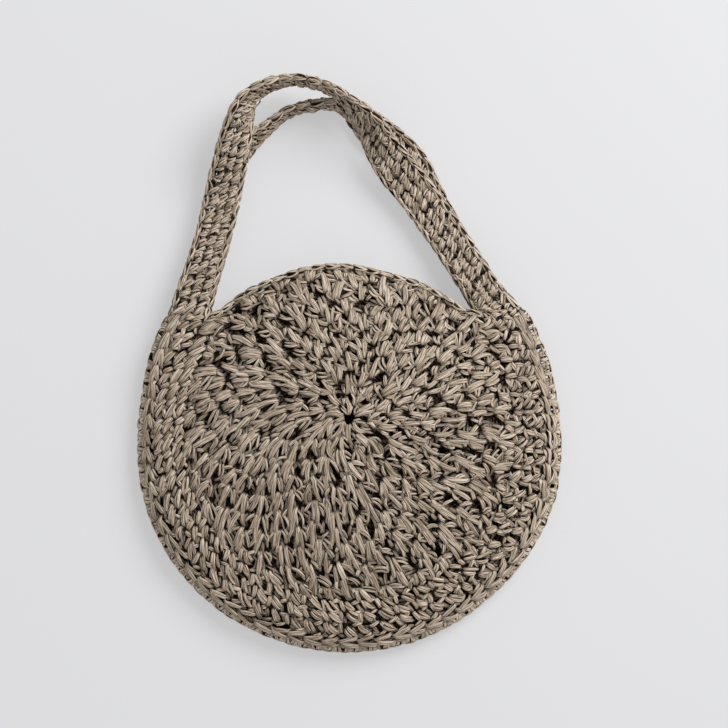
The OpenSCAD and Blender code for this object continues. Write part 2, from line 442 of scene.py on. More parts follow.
yarn = {
    "width": 0.00186,         # a flat strand across
    "thickness": 0.00125,
    "halfStrand": 0.0011,     # from a hole's edge to the middle of the strand beside it
    "pitch": 0.00152,         # from strand to strand in a bundle
    "cell": 0.0100,           # width of a hand's cell at which its strands have that size
    "rings": 8,
    "twist": 13,              # degrees that a strand may lie turned
    "fanned": 7,              # degrees that each strand lies turned from the one beside it
    "sizes": (0.85, 1.12),    # least and most that a strand grows with its cell
    "crown": 0.00030,         # a bundle's outer strands lie lower by this
    "looser": 1.8,            # how much more each strand of worked rows wanders by itself
    "coreLoose": 0.5,
    "braidLoose": 0.6,
    "eased": 0.6,             # how far a strand's rings are drawn to its two ends
    "leafPower": 0.65,
    "blunt": (0.45, 0.45),
    "plain": (0.05, 0.90, 1.6),   # a plain strand's width: a sine from here, over this, times
    "shade": (0.0006, 0.0026),
    "lookUp": 0.0005,         # small step in height that gives the direction of the normal
}
# How far strands wander from their places, as the standard deviation of a normal number: of
# the whole stitch first and of each strand second, in shares of the cell or of the size
wander = {
    "slant": (0.13, 0.045),
    "reach": (0.07, 0.05),
    "start": 0.075,
    "depth": (0.065, 0.03),
    "bend": (0.03, 0.014),
    "hook": (0.05, 0.03),
    "crest": (0.09, 0.00028), # the second in metres
    "spacing": 0.10,
    "beside": 0.14,
    "width": 0.10,
    "thickness": 0.12,
    "tint": (0.10, 0.24),
    "shared": (0.85, 0.50),   # shares of what a stitch's legs share and of each leg's own
}
# Section of a strand: three or two plies side by side with grooves between them, or plain
profiles = {
    8: np.array([(1.0, -0.10), (0.70, 0.76), (0.34, 0.62), (0.0, 1.0), (-0.34, 0.62),
                 (-0.70, 0.76), (-1.0, -0.10), (0.0, -0.90)]),
    6: np.array([(1.0, -0.10), (0.54, 0.92), (0.0, 0.62), (-0.54, 0.92), (-1.0, -0.10),
                 (0.0, -0.90)]),
    4: np.array([(0.8, 0.6), (-0.8, 0.6), (-0.8, -0.6), (0.8, -0.6)]),
}
# How deep in a crease each corner of a section lies, which sets how much painted shade it gets:
# 1 beside and under the strand, a half in the grooves between its plies
creases = {
    8: (1.0, 0.10, 0.5, 0.0, 0.5, 0.10, 1.0, 1.0),
    6: (1.0, 0.0, 0.5, 0.0, 1.0, 1.0),
    4: (0.3, 0.3, 0.6, 0.6),
}

# Bundles of side-by-side strands that make one stitch. Places are shares of the stitch's
# own cell: along the row, then across it from its inner edge. Heights are in metres at the
# start, the crest and the end; rise and fall are shares of the strand's length. Gather is the
# strands' spacing as a share of the pitch, and fan is another one at their end. A leaf swells
# between narrow ends, and its number moves the widest place. Blunt is the width left at the
# two ends, shade the two heights between which a strand's painted shade fades out as it
# rises, and some legs keep a least painted shade all along.
def yarnLeg(start, end, strands, heights, rise=0.3, fall=0.7, bow=0.0, **more):
    return {"start": start, "end": end, "strands": strands, "heights": heights, "rise": rise,
            "fall": fall, "bow": bow, **more}


lowShade = (-0.0012, 0.0004)
handLegs = [
    *[yarnLeg(start, end, 1, heights, rise=0.12, fall=0.62, bow=bow, wide=2.25, stout=1.9,
              leaf=0.8, blunt=(0.5, 0.26), sides=8, slope=0.0008, crowd=1.3)
      for start, end, heights, bow in (
          ((-0.10, -0.02), (-0.27, 0.92), (-0.0012, 0.0037, -0.0004), 0.03),
          ((0.14, -0.05), (0.24, 0.96), (-0.0012, 0.0042, -0.0003), -0.02))],
    yarnLeg((0.02, 0.3), (-0.02, 0.98), 1, (0.0, 0.0021, -0.0004), rise=0.2, fall=0.75, wide=1.5,
            leaf=1.0, dim=0.6),
    yarnLeg((0.19, -0.02), (0.98, 0.42), 2, (-0.0012, 0.0034, -0.0008), rise=0.16, fall=0.66,
            bow=0.11, gather=1.0, fan=1.25, wide=1.3, stout=1.45, leaf=0.9, blunt=(0.45, 0.3)),
    yarnLeg((-0.24, 0.06), (-0.6, 0.54), 1, (-0.001, 0.0032, -0.001), rise=0.2, fall=0.66,
            bow=-0.03, wide=1.8, stout=1.4, leaf=1.0, blunt=(0.4, 0.3)),
    yarnLeg((0.42, 0.24), (0.62, 0.86), 1, (-0.001, 0.0022, -0.001), rise=0.25, fall=0.66,
            bow=0.03, wide=1.9, stout=1.2, leaf=1.0, blunt=(0.45, 0.4), dim=0.58),
    yarnLeg((-0.56, 0.3), (-0.62, 0.9), 1, (-0.001, 0.002, -0.001), rise=0.25, fall=0.66,
            bow=-0.03, wide=1.8, stout=1.2, leaf=1.0, blunt=(0.45, 0.4), dim=0.62),
]
# Strands under the hands in painted shade, and the cords of the rounds and of the start in
# painted shadow
handLoops = yarnLeg((-0.95, 0.26), (0.95, 0.4), 3, (-0.0008, 0.0018, -0.0008), bow=0.02,
                    gather=2.2, dim=0.62)
handCord = yarnLeg((-1.08, 0.17), (1.08, 0.19), 4, (-0.0024, -0.0014, -0.0024), gather=1.75)
startCord = {**handCord, "start": (-1.08, -0.14), "end": (1.08, -0.12), "strands": 3}
# The bands' smaller stitch: a broad lump lying forwards, a narrow one standing before it, a
# small one under the broad one's end, and two deeper down that are painted darker as shade
bandLegs = [
    yarnLeg((-0.26, -0.06), (0.5, 0.88), 2, (-0.0012, 0.0038, -0.0008), rise=0.22, bow=-0.05,
            wide=1.86, stout=1.55, leaf=0.95, blunt=(0.42, 0.34)),
    yarnLeg((-0.47, -0.12), (-0.22, 0.98), 1, (-0.0012, 0.0036, -0.0006), rise=0.24, fall=0.68,
            bow=0.06, wide=2.45, stout=1.6, leaf=0.9, blunt=(0.42, 0.36), sides=8),
    yarnLeg((0.04, 0.24), (0.6, -0.14), 1, (0.0002, 0.003, -0.001), rise=0.25, fall=0.68,
            bow=0.05, wide=2.0, stout=1.4, leaf=1.0, blunt=(0.42, 0.36)),
    yarnLeg((0.22, 0.1), (0.56, 1.0), 1, (-0.0006, 0.002, -0.0006), rise=0.25, wide=2.1,
            stout=1.3, leaf=1.0, blunt=(0.5, 0.5), dim=0.58),
    yarnLeg((-0.2, 0.4), (0.14, 1.1), 1, (-0.0006, 0.0018, -0.0006), rise=0.25, wide=1.9,
            stout=1.2, leaf=1.0, blunt=(0.5, 0.5), dim=0.62),
]
# Loops that lie along the top of a row, behind the next row's stitches, painted darker as shade
topLoops = yarnLeg((-0.58, 0.62), (0.58, 0.74), 3, (-0.001, 0.0012, -0.001), bow=0.05, gather=1.8,
                   dim=0.62)
# The cord of a row, painted near black as shadow
rowCord = yarnLeg((-0.62, 0.26), (0.62, 0.3), 4, (-0.0024, -0.0014, -0.0024), gather=1.8)
# The strands of the side that lies inside, painted darker as shade
innerLegs = [
    yarnLeg(start, end, 2, (0.0002, crest, 0.0008), bow=bow, gather=1.9, dim=0.45)
    for start, end, crest, bow in (((-0.12, -0.16), (0.38, 1.08), 0.0030, 0.04),
                                   ((-0.16, -0.10), (-0.46, 1.00), 0.0028, -0.04))
]
# A link of an edge braid: two arms that leave one point and open round the next link, over
# strands painted darker as shade
braidLegs = [
    *[yarnLeg((-0.66, start), (0.64, end), 2, (-0.0006, 0.0011, -0.0004), bow=bow, gather=0.95,
              wide=1.22, stout=1.3, leaf=0.9, blunt=(0.55, 0.48), shade=lowShade)
      for start, end, bow in ((0.58, 0.30, 0.05), (0.42, 0.72, -0.05))],
    *[yarnLeg((-0.60, start), (0.60, end), 2, (-0.0006, 0.0006, -0.0006), wide=1.3, stout=1.3,
              leaf=1.0, blunt=(0.6, 0.6), dim=0.44, shade=(-0.0012, 0.0002))
      for start, end in ((0.06, 0.02), (0.98, 0.94))],
    yarnLeg((-0.64, 0.50), (0.64, 0.52), 5, (-0.0003, 0.0002, -0.0003), gather=1.45, wide=1.3,
            stout=1.4, sides=4, dim=0.50),
]


# Cells of worked rows: each stitch's place along its row, the row's start, their sizes and
# how far its strands lean forwards, as a share of the stitch
def rowsOfCells(rows):
    parts = []
    for row in rows:
        count = row["count"]
        size = row.get("span", 1.0) / count
        along = row.get("start", 0.0) + size * (np.arange(count) + 0.5 + row.get("phase", 0))
        lean = row["lean"](along) if "lean" in row else np.zeros(count)
        own = size * row.get("share", 1)
        parts.append(np.stack([along, np.full(count, row["from"]), np.full(count, own),
                               np.full(count, row["depth"]), lean], 1))
    return np.concatenate(parts)


# Sizes in metres of each cell, from the surface points at its four sides
def cellSizes(surface, cells):
    along, start, size, depth = cells[:, :4].T
    middle, level = start + depth / 2, np.zeros(len(cells))
    wide = surface(along + size / 2, middle, level) - surface(along - size / 2, middle, level)
    deep = surface(along, start + depth, level) - surface(along, start, level)
    return lengths(wide)[:, None, None], lengths(deep)[:, None, None]


# A strand's middle line goes straight from the bundle's start to its end, bowed to one
# side, beside its neighbours, and its height is a rise to a crest and a fall to its tip.
# The tube round it is a flat section of two or three plies that narrows to both ends. Loose
# scales all wandering, wild each strand's own, and together is random numbers that every leg
# of a stitch shares.
def layStrands(surface, cells, leg, rng, face=1, sides=None, rings=None, size=1.0, loose=1.0,
               together=None):
    rings = rings or yarn["rings"]
    sides = sides or leg.get("sides", 6)
    n, k = len(cells), leg["strands"]
    q = np.linspace(0, 1, rings)[None, None, :]
    if "crowd" in leg:
        q = q ** leg["crowd"]
    else:
        q = mix(q, 0.5 - 0.5 * np.cos(math.pi * q), yarn["eased"])
    order = (np.arange(k) - (k - 1) / 2)[None, :, None]
    own = rng.normal(0, 1, (12, n, k, 1))
    stitch = rng.normal(0, 1, (8, n, 1, 1))
    if together is not None:
        shared, single = wander["shared"]
        stitch = shared * together + single * stitch
    wide, deep = cellSizes(surface, cells)
    cellS, cellT, sizeS, sizeT, lean = cells.T[..., None, None]
    startS, startT = leg["start"]
    endS, endT = leg["end"]
    wild = loose * leg.get("wild", 1)

    def astray(kind, ofStitch, ofStrand, free=wild):
        whole, single = leg.get(kind, wander[kind])
        return loose * whole * stitch[ofStitch] + free * single * own[ofStrand]

    spanS = endS - startS + lean * (endT - startT) + astray("slant", 0, 0)
    spanT = (endT - startT) * (1 + astray("reach", 6, 1))
    alongLength, acrossLength = spanS * wide, spanT * deep
    slant = np.maximum(np.sqrt(alongLength**2 + acrossLength**2), 1e-6)
    gather = leg.get("gather", 1)
    spacing = mix(gather, leg.get("fan", gather), q)
    spacing = spacing * (1 + wander["spacing"] * loose * stitch[3])
    blunt = leg.get("blunt", yarn["blunt"])
    if "leaf" in leg:
        ends = mix(blunt[0], blunt[1], q)
        swelling = np.maximum(np.sin(math.pi * q ** leg["leaf"]), 0) ** yarn["leafPower"]
        taper = ends + (1 - ends) * swelling
        spacing = spacing * taper * leg.get("wide", 1)
    else:
        ends = np.where(q < 0.5, blunt[0], blunt[1])
        first, over, sharp = yarn["plain"]
        taper = ends + (1 - ends) * np.clip(np.sin(math.pi * (first + over * q)) * sharp, 0, 1)
    grown = np.clip(wide / yarn["cell"], *yarn["sizes"]) ** leg.get("grow", 0)
    beside = yarn["pitch"] * grown * (order * spacing + wander["beside"] * loose * own[2])
    bow = (leg["bow"] + astray("bend", 4, 3)) * deep
    aside = beside + bow * np.sin(math.pi * q) + astray("hook", 7, 4) * deep * q**3
    s = startS + wander["start"] * loose * stitch[1] + spanS * q
    s = s + aside * acrossLength / slant / wide
    t = (startT + astray("depth", 2, 5, loose) + spanT * q
         - aside * alongLength / slant / deep)
    foot, crest, tip = leg["heights"]
    raised, ownRaised = wander["crest"]
    crest = crest * (1 + raised * loose * stitch[5]) + ownRaised * loose * own[6]
    crest = crest - yarn["crown"] * (order / max(k / 2, 1)) ** 2
    rise = smoothStep(q / leg["rise"])
    fall = smoothStep((q - leg["fall"]) / (1 - leg["fall"]))
    height = mix(mix(foot, crest, rise) - leg.get("slope", 0) * q, tip, fall)
    along, across = cellS + s * sizeS, cellT + t * sizeT
    middle = surface(along, across, face * height)
    over = unit(surface(along, across, face * (height + yarn["lookUp"])) - middle)
    line = unit(np.gradient(middle, axis=2))
    sideways = unit(np.cross(line, over))
    over = np.cross(sideways, line)
    lie = np.radians(yarn["twist"] * loose * own[7] + yarn["fanned"] * order)[..., None]
    flat = sideways * np.cos(lie) + over * np.sin(lie)
    thin = -sideways * np.sin(lie) + over * np.cos(lie)
    grown = grown * leg.get("wide", 1)
    width = yarn["width"] / 2 * size * grown * taper * (1 + wander["width"] * loose * own[8])
    thick = yarn["thickness"] / 2 * size * leg.get("stout", 1) * taper
    thick = thick * (1 + wander["thickness"] * loose * own[9])
    out, up = profiles[sides].T
    tube = (middle[..., None, :] + flat[..., None, :] * (width[..., None] * out)[..., None]
            + thin[..., None, :] * (thick[..., None] * up)[..., None])
    tube[..., 2] = np.maximum(tube[..., 2], 0.0)
    # painted shade: a strand is painted darker where it lies low in the fabric, and some legs
    # keep a least painted shade all along
    shadeLow, shadeHigh = leg.get("shade", yarn["shade"])
    paintedShade = 1 - smoothStep((height - shadeLow) / (shadeHigh - shadeLow))
    paintedShade = np.maximum(paintedShade, leg.get("dim", 0))
    tinted, ownTint = wander["tint"]
    tint = 0.5 + ownTint * own[10] + tinted * stitch[0]
    shape = (n, k, rings)
    return {"points": tube.reshape(n * k, rings, sides, 3),
            "paintedShade": np.broadcast_to(paintedShade, shape).reshape(n * k, rings),
            "tint": np.broadcast_to(tint, shape).reshape(n * k, rings)}


# A bundle for each leg of a table
def layAll(surface, cells, legs, rng, **how):
    return [layStrands(surface, cells, leg, rng, **how) for leg in legs]


# Quads of every tube on its ring and side numbers, with each end closed by two quads, and a
# map whose first value runs along the strand and whose second runs round it
def tubeFaces(count, rings, sides, first):
    ring, side = np.meshgrid(np.arange(rings - 1), np.arange(sides), indexing="ij")
    after = (side + 1) % sides
    wall = np.stack([ring * sides + side, ring * sides + after,
                     (ring + 1) * sides + after, (ring + 1) * sides + side], -1).reshape(-1, 4)
    wallU = np.stack([ring, ring, ring + 1, ring + 1], -1).reshape(-1, 4) / (rings - 1)
    wallV = np.stack([side, side + 1, side + 1, side], -1).reshape(-1, 4) / 6 + 0.24 * wallU
    ends = np.array([[0, k + 2, k + 1, k] for k in range(1, sides - 1, 2)])
    far = ends[:, ::-1] + (rings - 1) * sides
    faces = np.concatenate([wall, ends, far])
    u = np.concatenate([wallU, np.zeros(ends.shape), np.ones(far.shape)])
    v = np.concatenate([wallV, ends / 6, ends / 6])
    base = first + np.arange(count)[:, None, None] * rings * sides
    shapeOfMap = (count,) + u.shape
    mapped = np.stack([np.broadcast_to(u, shapeOfMap), np.broadcast_to(v, shapeOfMap)], -1)
    return (faces[None] + base).reshape(-1, 4), mapped.reshape(-1, 2)


# Small holes that show what lies behind them, seen from the camera: places from the widest
# line's middle and radii, in millimetres
eyelets = np.array([
    (-121.4, 224.0, 0.6), (-106.4, 220.8, 0.7),
    (-106.5, 213.9, 0.7), (-109.8, 217.0, 0.4), (-108.6, 203.6, 0.7), (-111.4, 192.6, 0.6),
    (-113.4, 181.1, 0.5), (-116.7, 175.8, 0.5),
    (-72.8, 279.2, 0.5), (-80.8, 273.6, 0.5), (-85.2, 260.8, 0.5), (-91.2, 256.0, 0.4),
    (-91.2, 263.2, 0.4), (-95.2, 251.2, 0.4), (-95.2, 241.6, 0.5), (-88.4, 240.0, 0.4),
    (146.1, 95.5, 1.0), (152.2, 79.6, 1.8), (155.0, 70.2, 1.5), (156.3, 64.9, 0.8),
    (157.9, 59.2, 1.6), (160.6, 46.5, 0.9), (162.1, 33.0, 1.3), (163.0, 19.5, 0.9),
    (163.4, 6.5, 1.1), (163.2, -8.0, 0.8), (162.6, -29.4, 1.1),
])
# Holes of the front panel's first rounds, with the fabric's depth behind them
startHoles = np.array([
    (-19.2, 41.6, 1.6), (-8.8, 44.0, 1.6), (0.8, 42.4, 1.5), (11.2, 38.4, 1.9),
    (12.8, 25.6, 1.3), (8.0, 18.8, 1.2), (-10.0, 16.8, 1.6),
])


# In clearances: how near a strand steps aside, and where that starts to fade and over what
parting = {"near": 3, "from": 0.8, "over": 2}


# Strands step aside for each hole. Across the strand, each ring's distance from the hole
# grows to the root of its square plus the clearance squared, and the clearance fades away
# along the strand.
def parted(strands, holes):
    centre = strands.mean(axis=2)
    rings = centre.shape[1]
    up = (stage["distance"] - centre[..., 2]) / (stage["distance"] - stage["focus"])
    for x, y, radius in holes / 1000:
        clear = radius + yarn["halfStrand"]
        away = np.stack([centre[..., 0] - mix(stage["centre"][0], x, up),
                         centre[..., 1] - mix(stage["centre"][1], y - bag["middleUp"], up)], -1)
        near = np.flatnonzero(lengths(away).min(1) < parting["near"] * clear)
        if not len(near):
            continue
        place = lengths(away).argmin(1)[near]
        line = unit(centre[near, np.minimum(place + 1, rings - 1), :2]
                    - centre[near, np.maximum(place - 1, 0), :2])
        across = np.stack([-line[:, 1], line[:, 0]], -1)
        offset = (away[near] * across[:, None]).sum(-1)
        side = np.where(offset[np.arange(len(near)), place] < 0, -1.0, 1.0)[:, None]
        along = np.abs((away[near] * line[:, None]).sum(-1))
        faded = (along - parting["from"] * clear) / (parting["over"] * clear)
        room = clear * (1 - smoothStep(faded))
        offset = np.maximum(side * offset, 0)
        step = side * (np.sqrt(offset**2 + room**2) - offset)
        strands[near, :, :, :2] += (step[..., None] * across[:, None])[:, :, None]
        centre[near, :, :2] += step[..., None] * across[:, None]
    return strands


def addObject(name, data):
    added = bpy.data.objects.new(name, data)
    bpy.context.scene.collection.objects.link(added)
    return added


# One mesh of many strands, with the painted shade of each place, darker where it is tucked in,
# and each strand's own tint
def knitPiece(name, bundles, material, holes=eyelets):
    points, faces, maps, paintedShade, tint, crease, first = [], [], [], [], [], [], 0
    for bundle in bundles:
        count, rings, sides, _ = bundle["points"].shape
        bundleFaces, bundleMap = tubeFaces(count, rings, sides, first)
        faces.append(bundleFaces)
        maps.append(bundleMap)
        points.append(parted(bundle["points"].copy(), holes).reshape(-1, 3))
        paintedShade.append(np.repeat(bundle["paintedShade"].ravel(), sides))
        tint.append(np.repeat(bundle["tint"].ravel(), sides))
        crease.append(np.tile(creases[sides], count * rings))
        first += count * rings * sides
    points = np.concatenate(points).astype(np.float32)
    faces = np.concatenate(faces).astype(np.int32)
    mesh = bpy.data.meshes.new(name)
    mesh.vertices.add(len(points))
    mesh.vertices.foreach_set("co", points.ravel())
    mesh.loops.add(faces.size)
    mesh.loops.foreach_set("vertex_index", faces.ravel())
    mesh.polygons.add(len(faces))
    mesh.polygons.foreach_set("loop_start", np.arange(0, faces.size, 4, dtype=np.int32))
    mesh.polygons.foreach_set("use_smooth", np.ones(len(faces), bool))
    strandMap = mesh.uv_layers.new(name="strandMap")
    strandMap.data.foreach_set("uv", np.concatenate(maps).astype(np.float32).ravel())
    for label, values in (("paintedDepthShade", paintedShade), ("tint", tint), ("crease", crease)):
        attribute = mesh.attributes.new(label, "FLOAT", "POINT")
        attribute.data.foreach_set("value", np.concatenate(values).astype(np.float32))
    mesh.update(calc_edges=True)
    mesh.materials.append(material)
    print(name, len(faces) * 2, "triangles")
    return addObject(name, mesh)


# Materials

# A material, and a function that adds a node to it: its kind, pairs of an input and what it
# is linked or set to, and its own settings
def newMaterial(name):
    material = bpy.data.materials.new(name)
    material.use_nodes = True
    nodes, links = material.node_tree.nodes, material.node_tree.links
    nodes.clear()

    def add(kind, *inputs, **own):
        node = nodes.new(kind)
        for label, value in own.items():
            setattr(node, label, value)
        for place, given in inputs:
            if isinstance(given, bpy.types.NodeSocket):
                links.new(given, node.inputs[place])
            else:
                node.inputs[place].default_value = given
        return node

    return material, add


def paperYarn(name, settings):
    material, add = newMaterial(name)

    def number(kind, *terms):
        return add("ShaderNodeMath", *enumerate(terms), operation=kind).outputs[0]

    def ranged(value, low, high, highTo=1.0):
        return add("ShaderNodeMapRange", ("Value", value), ("From Min", low), ("From Max", high),
                   ("To Max", highTo)).outputs["Result"]

    def times(first, second):
        return add("ShaderNodeVectorMath", (0, first), (1, second),
                   operation="MULTIPLY").outputs[0]

    def noise(vector, scale):
        return add("ShaderNodeTexNoise", ("Vector", vector), ("Scale", scale)).outputs["Fac"]

    def blended(share, first, second):
        return add("ShaderNodeMix", ("Factor", share), ("A", first), ("B", second),
                   data_type="RGBA").outputs["Result"]

    def ramped(value, steps):
        ramp = add("ShaderNodeValToRGB", ("Fac", value))
        elements = ramp.color_ramp.elements
        for position, colour in steps:
            elements.new(position).color = (*colour, 1)
        elements.remove(elements[-1])
        elements.remove(elements[0])
        return ramp.outputs["Color"]

    strandMap = add("ShaderNodeUVMap", uv_map="strandMap").outputs["UV"]
    tint, paintedDepthShade, crease = [add("ShaderNodeAttribute", attribute_name=label).outputs["Fac"]
                            for label in ("tint", "paintedDepthShade", "crease")]

    # fibres run along the strand, and each strand reads its own stretch of the pattern
    ownPlace = number("MULTIPLY", tint, settings["apart"])
    spread = add("ShaderNodeCombineXYZ", ("X", ownPlace), ("Z", ownPlace)).outputs[0]
    stretch = add("ShaderNodeVectorMath", (0, strandMap), (1, settings["stretch"]), (2, spread),
                  operation="MULTIPLY_ADD").outputs[0]
    fibreShare = ranged(noise(stretch, settings["fibreScale"]), *settings["fibre"])

    # its colour is a share of the fibres, of the strand's own tint and of wide patches
    ofFibre, ofStrand, ofPatch = settings["mixture"]
    patch = noise(add("ShaderNodeTexCoord").outputs["Object"], settings["patchScale"])
    ownShare = number("MULTIPLY_ADD", tint, ofStrand, number("MULTIPLY", patch, ofPatch))
    shade = ramped(number("MULTIPLY_ADD", fibreShare, ofFibre, ownShare),
                   list(zip(settings["shades"], (settings["dark"], settings["light"]))))

    # some strands are more rosy and some more straw-coloured
    hue = ranged(noise(spread, settings["hueScale"]), *settings["hue"])
    coloured = times(shade, blended(hue, (*settings["rosy"], 1), (*settings["straw"], 1)))

    # a ramp of browns from level to level, redder where it is darker
    def browns(value, steps):
        return ramped(value, [(place, (level**0.85, level, level**1.2))
                              for place, level in steps])

    # each strand has painted shade beside and under itself, and its plies run aslant with lines
    # of
    # painted shade between them: the sine of the distance round it and some of the distance along
    # it
    creaseShaded = times(coloured, browns(crease, settings["crease"]))
    ways = add("ShaderNodeSeparateXYZ", ("Vector", strandMap)).outputs
    turned = number("MULTIPLY_ADD", ways["X"], settings["turns"],
                    number("MULTIPLY", ways["Y"], settings["plies"]))
    wave = number("ABSOLUTE", number("SINE", number("MULTIPLY", number("ADD", turned, ownPlace),
                                                    math.pi)))
    plyLineShaded = times(creaseShaded, browns(wave, settings["lines"]))

    # painted shade: the tucked ends of each strand lie in the depth of the stitch and are painted
    # darker
    darkened = blended(ranged(paintedDepthShade, *settings["depth"]), plyLineShaded, (*settings["deep"], 1))
    highest, share = settings["relief"]
    relief = number("MULTIPLY_ADD", number("MINIMUM", wave, highest), share, fibreShare)
    bump = add("ShaderNodeBump", ("Height", relief), ("Strength", settings["bump"]),
               ("Distance", settings["bumpHeight"]))
    shader = add("ShaderNodeBsdfPrincipled", ("Base Color", darkened),
                 ("Normal", bump.outputs["Normal"]), ("Roughness", settings["roughness"]),
                 ("Specular IOR Level", settings["shine"]), ("Sheen Weight", settings["sheen"]))
    add("ShaderNodeOutputMaterial", ("Surface", shader.outputs["BSDF"]))
    return material


yarnLooks = {
    "roughness": 0.48,
    "shine": 0.14,
    "sheen": 0.03,
    "apart": 61.0,            # between the patterns of the palest and the darkest strand
    "stretch": (1.5, 3.4, 1.0),   # the fibre pattern along and across a strand
    "fibre": (0.36, 0.64),
    "fibreScale": 1.6,
    "patchScale": 26.0,
    "hueScale": 0.7,
    "hue": (0.35, 0.65),
    "mixture": (0.55, 0.30, 0.15),
    "shades": (0.15, 0.85),
    "relief": (0.6, 1.6),
    "bump": 0.5,
    "bumpHeight": 0.0003,
    "light": (0.778, 0.680, 0.588),
    "dark": (0.305, 0.237, 0.166),
    "rosy": (1.03, 0.975, 0.975),
    "straw": (0.985, 1.0, 0.94),
    # painted shade in the creases beside and under each strand and in the grooves of its plies
    "crease": ((0.02, 1.0), (0.30, 1.0), (0.50, 0.84), (0.64, 0.17), (0.82, 0.02)),
    "plies": 2.0,             # painted shade lines round half a strand, and their turns along it
    "turns": -1.5,
    # painted shade lines between the plies, as levels along the wave
    "lines": ((0.0, 0.14), (0.18, 0.34), (0.36, 0.90), (0.50, 1.0)),
    # the near-black colour of the painted shade deep in the stitches
    "deep": (0.008, 0.003, 0.001),
    "depth": (0.30, 1.0, 0.97),   # painted depth shade: from and to, and how dark it gets
}
# straps and edges are worked tighter, and their painted shade in the creases and between the
# plies is lighter
softLooks = {
    **yarnLooks,
    "crease": ((0.02, 1.0), (0.30, 1.0), (0.50, 0.84), (0.66, 0.36), (0.85, 0.10)),
    "lines": ((0.0, 0.34), (0.16, 0.52), (0.32, 0.94), (0.46, 1.0)),
}
panelYarn = paperYarn("panelYarn", yarnLooks)
bandYarn = paperYarn("bandYarn", yarnLooks)
strapYarn = paperYarn("strapYarn", {**softLooks, "light": (0.885, 0.778, 0.676)})
edgeYarn = paperYarn("edgeYarn", {**softLooks, "light": (0.900, 0.795, 0.690)})
# painted shadow: the cords deep inside the fabric, which no light reaches, are painted near black
paintedShadowYarn = paperYarn("paintedShadowYarn", {**yarnLooks, "roughness": 1.0, "shine": 0.0, "sheen": 0.0,
                                  "light": (0.012, 0.007, 0.003), "dark": (0.004, 0.002, 0.001)})
print("yarn ready")

# Panels

panel = {
    "rounds": 14,
    "hands": (6, 11, 16, 23, 28, 30, 32),     # on each two rounds, from the middle out
    "rimFrom": 9,             # rounds of the middle piece
    "hand": {"slant": (0.24, 0.045), "grow": 0.8, "wild": 2.4},
    "rings": {"front": 10, "back": 7},
    "lean": (0.08, 0.95, 208),    # least lean, how much more, and its direction in degrees
    "lastDeep": 1.15,         # depth of the last round's hands, in rounds
    "turned": 0.21,           # of each two rounds from the two before, in hands
    "steps": (0.01, 0.0005),  # small steps that give the normal
    "cord": {"front": 1.5, "back": 2.4},
    "startCord": 2.0,
}


# The hands lean most on the lower left
def panelLean(angle):
    least, more, towards = panel["lean"]
    return least + more * np.maximum(np.cos(angle - math.radians(towards)), 0)


# Random numbers for a piece of the front half, or of its twin at the back
def seeded(number, side):
    return np.random.default_rng(number + (0 if side == "front" else 100))


# Each hand is as wide as half its place on the round and reaches over two rounds, and the
# hands of the next round stand between them
def panelRounds(first, last):
    step = (bag["panelRadius"] - bag["holeRadius"]) / panel["rounds"]
    rows = []
    for k in range(first, last):
        deep = 2 * step if k < panel["rounds"] - 1 else panel["lastDeep"] * step
        rows.append({"span": 2 * math.pi, "count": panel["hands"][k // 2], "share": 0.5,
                     "from": bag["holeRadius"] + k * step, "depth": deep,
                     "phase": 0.5 * (k % 2) + panel["turned"] * (k // 2), "lean": panelLean})
    return rowsOfCells(rows)


def innerBundles(surface, cells, rng):
    return layAll(surface, cells, innerLegs, rng, face=-1, sides=4, rings=5, size=1.5)


def handBundles(surface, cells, rng, rings):
    together = rng.normal(0, 1, (8, len(cells), 1, 1))
    legs = [{**leg, **panel["hand"]} for leg in handLegs]
    return (layAll(surface, cells, legs, rng, rings=rings, together=together)
            + layAll(surface, cells, [handLoops], rng, sides=4, rings=6, size=1.3)
            + innerBundles(surface, cells, rng))


def fabricBundles(surface, cells, legs, rng, bothFaces=False):
    legs = [{**leg, "wild": yarn["looser"]} for leg in legs]
    bundles = layAll(surface, cells, legs, rng)
    bundles += layAll(surface, cells, [topLoops], rng, sides=4, rings=5, size=1.3)
    if bothFaces:
        return bundles + layAll(surface, cells, legs, rng, face=-1, rings=6)
    return bundles + innerBundles(surface, cells, rng)


# Cords inside a fabric, painted near black so that its gaps show painted shadow
def coreBundles(surface, cells, rng, legs, size=1.5):
    return layAll(surface, cells, legs, rng, sides=4, rings=5, size=size,
                  loose=yarn["coreLoose"])


# One piece of worked yarn that rides on the bag's body, or, for a strap, has its transform baked
# in
def workPiece(name, bundles, material, node, bend=None, holes=eyelets):
    piece = knitPiece(name, bundles, material, holes)
    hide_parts(node)
    if bend:
        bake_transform(piece)
    else:
        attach(piece, "bag")


for side in ("front", "back"):
    front = side == "front"
    surface = lifted(panelMiddle(front), -1 if front else 1, *panel["steps"])
    node = f"{side}_panel"
    for label, first, last in (("Middle", 0, panel["rimFrom"]),
                               ("Rim", panel["rimFrom"], panel["rounds"])):
        rng = seeded(11 + first, side)
        bundles = handBundles(surface, panelRounds(first, last), rng, panel["rings"][side])
        holes = startHoles if front and first == 0 else eyelets
        workPiece(f"{side}Panel{label}Rounds", bundles, panelYarn, node,
                  holes=holes)
    rng = seeded(21, side)
    bundles = coreBundles(surface, panelRounds(0, panel["rounds"]), rng, [handCord],
                          panel["cord"][side])
    if not front:
        bundles += coreBundles(surface, panelRounds(0, 1), rng, [startCord],
                               panel["startCord"])
    workPiece(f"{side}PanelCore", bundles, paintedShadowYarn, node)
print("panels worked")

# Side bands

band = {
    "rows": 3,
    "stitch": 0.0145,
    "rowsEnd": 0.745,         # share of the band that its rows fill, inside the flat braid
    "link": 0.0140,           # one link of that braid
    "lengthAt": 0.9,          # where its length is measured
    "loose": 0.7,
    "coreEnds": (0.008, 0.992),
    "steps": (0.002, 0.02),
}
